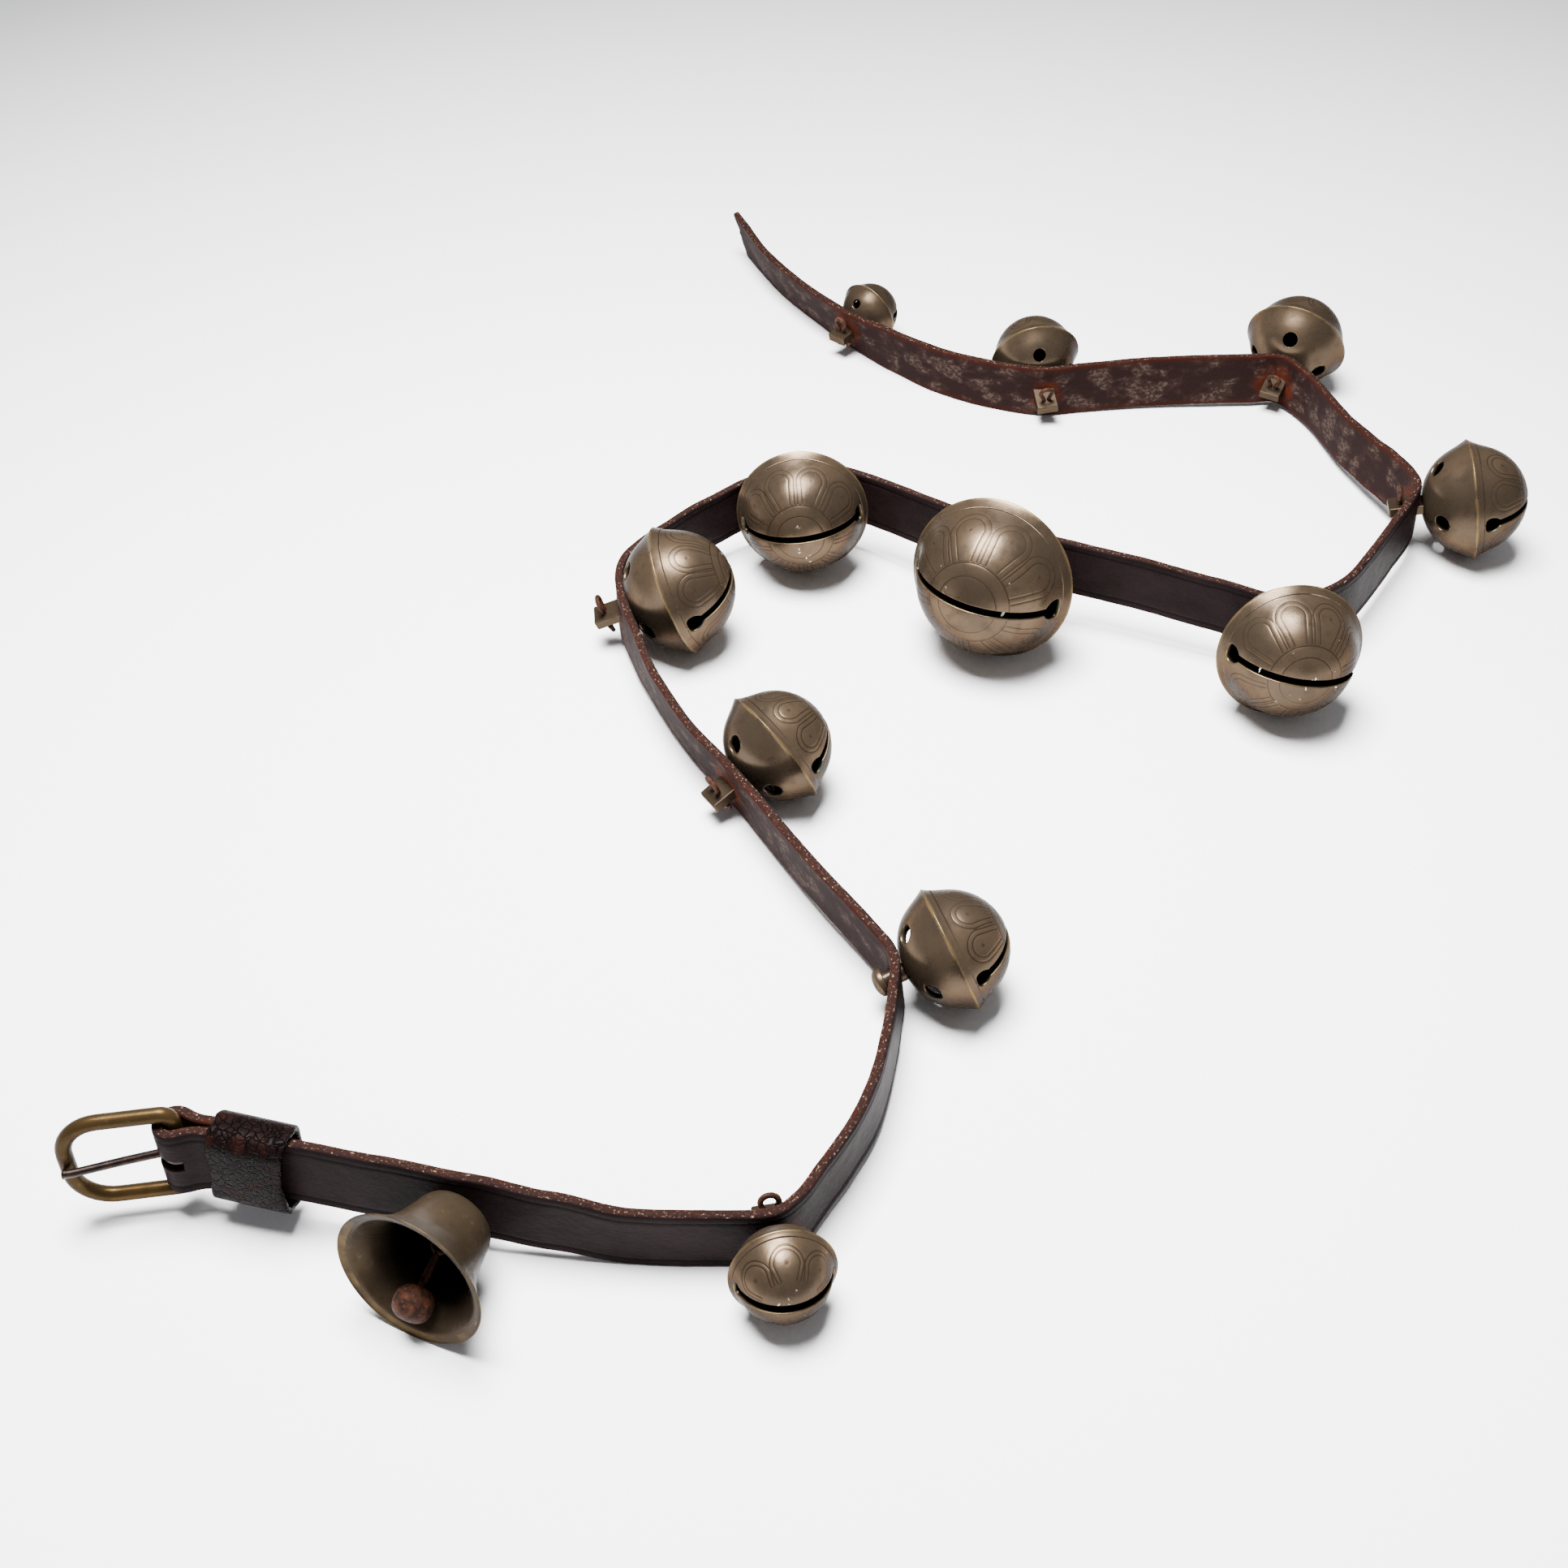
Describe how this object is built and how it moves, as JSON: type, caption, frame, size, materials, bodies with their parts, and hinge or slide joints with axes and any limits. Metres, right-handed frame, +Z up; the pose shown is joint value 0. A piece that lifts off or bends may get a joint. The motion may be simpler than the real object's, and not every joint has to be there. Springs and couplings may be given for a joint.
{
  "type": "sleigh bell strap",
  "caption": "Leather harness strap standing on edge in loose bends, with graduated ridged crotal bells, a flared open bell with clapper, a keeper and a tongue buckle.",
  "frame": {"origin": "under the middle of the whole object's box, on the table", "axes": "+Z up from the table, +Y away from the viewer of the picture, +X to the picture's right"},
  "size_m": [0.5534, 0.7086, 0.0692],
  "materials": {
    "strap_leather": "dark brown-black harness leather, worn red-brown along the edges",
    "keeper_leather": "black leather with a cracked gloss",
    "bell_brass": "dull tarnished cast brass with verdigris",
    "buckle_brass": "rubbed brass",
    "tongue_steel": "dark worn steel",
    "rusty_iron": "rusted iron"
  },
  "bodies": {
    "strap_with_bells": {"strap": "strap_leather", "open_bell": "bell_brass", "clapper_stem": "rusty_iron", "stem_burr": "bell_brass", "rivet_cap_02": "bell_brass", "crotal_01": "bell_brass", "crotal_02": "bell_brass", "crotal_03": "bell_brass", "crotal_04": "bell_brass", "crotal_05": "bell_brass", "crotal_06": "bell_brass", "crotal_07": "bell_brass", "crotal_08": "bell_brass", "crotal_09": "bell_brass", "crotal_10": "bell_brass", "crotal_11": "bell_brass", "cotter_01": "rusty_iron", "cotter_03": "rusty_iron", "cotter_04": "rusty_iron", "cotter_05": "rusty_iron", "cotter_06": "rusty_iron", "cotter_07": "rusty_iron", "cotter_08": "rusty_iron", "cotter_09": "rusty_iron", "cotter_10": "rusty_iron", "cotter_11": "rusty_iron"},
    "keeper": {"keeper": "keeper_leather"},
    "buckle_frame": {"buckle_frame": "buckle_brass"},
    "buckle_tongue": {"buckle_tongue": "tongue_steel"},
    "clapper": {"clapper": "rusty_iron"},
    "pellet_01": {"pellet_01": "rusty_iron"},
    "pellet_02": {"pellet_02": "rusty_iron"},
    "pellet_03": {"pellet_03": "rusty_iron"},
    "pellet_04": {"pellet_04": "rusty_iron"},
    "pellet_05": {"pellet_05": "rusty_iron"},
    "pellet_06": {"pellet_06": "rusty_iron"},
    "pellet_07": {"pellet_07": "rusty_iron"},
    "pellet_08": {"pellet_08": "rusty_iron"},
    "pellet_09": {"pellet_09": "rusty_iron"},
    "pellet_10": {"pellet_10": "rusty_iron"},
    "pellet_11": {"pellet_11": "rusty_iron"}
  },
  "joints": [
    {"name": "keeper_slide", "type": "slide", "parent": "strap_with_bells", "child": "keeper", "axis": [0.9843, -0.1662, -0.0591], "range_m": [0, 0.012]},
    {"name": "buckle_swing", "type": "hinge", "parent": "strap_with_bells", "child": "buckle_frame", "pos_m": [-0.24105, -0.29801, 0.0251], "axis": [-0.0061, 0.0869, 0.9962], "range_deg": [-45, 30]},
    {"name": "tongue_swing", "type": "hinge", "parent": "buckle_frame", "child": "buckle_tongue", "pos_m": [-0.24105, -0.29801, 0.0251], "axis": [-0.0061, 0.0869, 0.9962], "range_deg": [0, 40]},
    {"name": "clapper_swing", "type": "hinge", "parent": "strap_with_bells", "child": "clapper", "pos_m": [-0.15688, -0.32625, 0.02137], "axis": [-0.9026, 0.4305, 0], "range_deg": [0, 70.6]},
    {"name": "pellet_01_roll", "type": "hinge", "parent": "strap_with_bells", "child": "pellet_01", "pos_m": [-0.05703, -0.33536, 0.01611], "axis": [0.1695, -0.9615, 0.2165], "continuous": true},
    {"name": "pellet_02_roll", "type": "hinge", "parent": "strap_with_bells", "child": "pellet_02", "pos_m": [0.00008, -0.21136, 0.0214], "axis": [0.8995, 0.275, 0.3396], "continuous": true},
    {"name": "pellet_03_roll", "type": "hinge", "parent": "strap_with_bells", "child": "pellet_03", "pos_m": [-0.06027, -0.10643, 0.02215], "axis": [0.7571, 0.5107, 0.4075], "continuous": true},
    {"name": "pellet_04_roll", "type": "hinge", "parent": "strap_with_bells", "child": "pellet_04", "pos_m": [-0.10267, -0.0094, 0.02615], "axis": [0.9318, 0.0652, 0.3571], "continuous": true},
    {"name": "pellet_05_roll", "type": "hinge", "parent": "strap_with_bells", "child": "pellet_05", "pos_m": [-0.04859, 0.04568, 0.02907], "axis": [-0.0347, -0.9933, 0.1106], "continuous": true},
    {"name": "pellet_06_roll", "type": "hinge", "parent": "strap_with_bells", "child": "pellet_06", "pos_m": [0.03031, -0.01264, 0.03465], "axis": [-0.4309, -0.8834, 0.184], "continuous": true},
    {"name": "pellet_07_roll", "type": "hinge", "parent": "strap_with_bells", "child": "pellet_07", "pos_m": [0.14718, -0.05493, 0.02913], "axis": [0.0345, -0.9868, 0.1582], "continuous": true},
    {"name": "pellet_08_roll", "type": "hinge", "parent": "strap_with_bells", "child": "pellet_08", "pos_m": [0.25276, 0.05976, 0.02634], "axis": [0.9659, -0.1357, 0.2205], "continuous": true},
    {"name": "pellet_09_roll", "type": "hinge", "parent": "strap_with_bells", "child": "pellet_09", "pos_m": [0.20616, 0.20948, 0.0238], "axis": [0.462, 0.8003, 0.3822], "continuous": true},
    {"name": "pellet_10_roll", "type": "hinge", "parent": "strap_with_bells", "child": "pellet_10", "pos_m": [0.07142, 0.19997, 0.02104], "axis": [-0.1301, 0.9259, 0.3547], "continuous": true},
    {"name": "pellet_11_roll", "type": "hinge", "parent": "strap_with_bells", "child": "pellet_11", "pos_m": [-0.01112, 0.25633, 0.01635], "axis": [0.6659, 0.7141, 0.2161], "continuous": true}
  ]
}
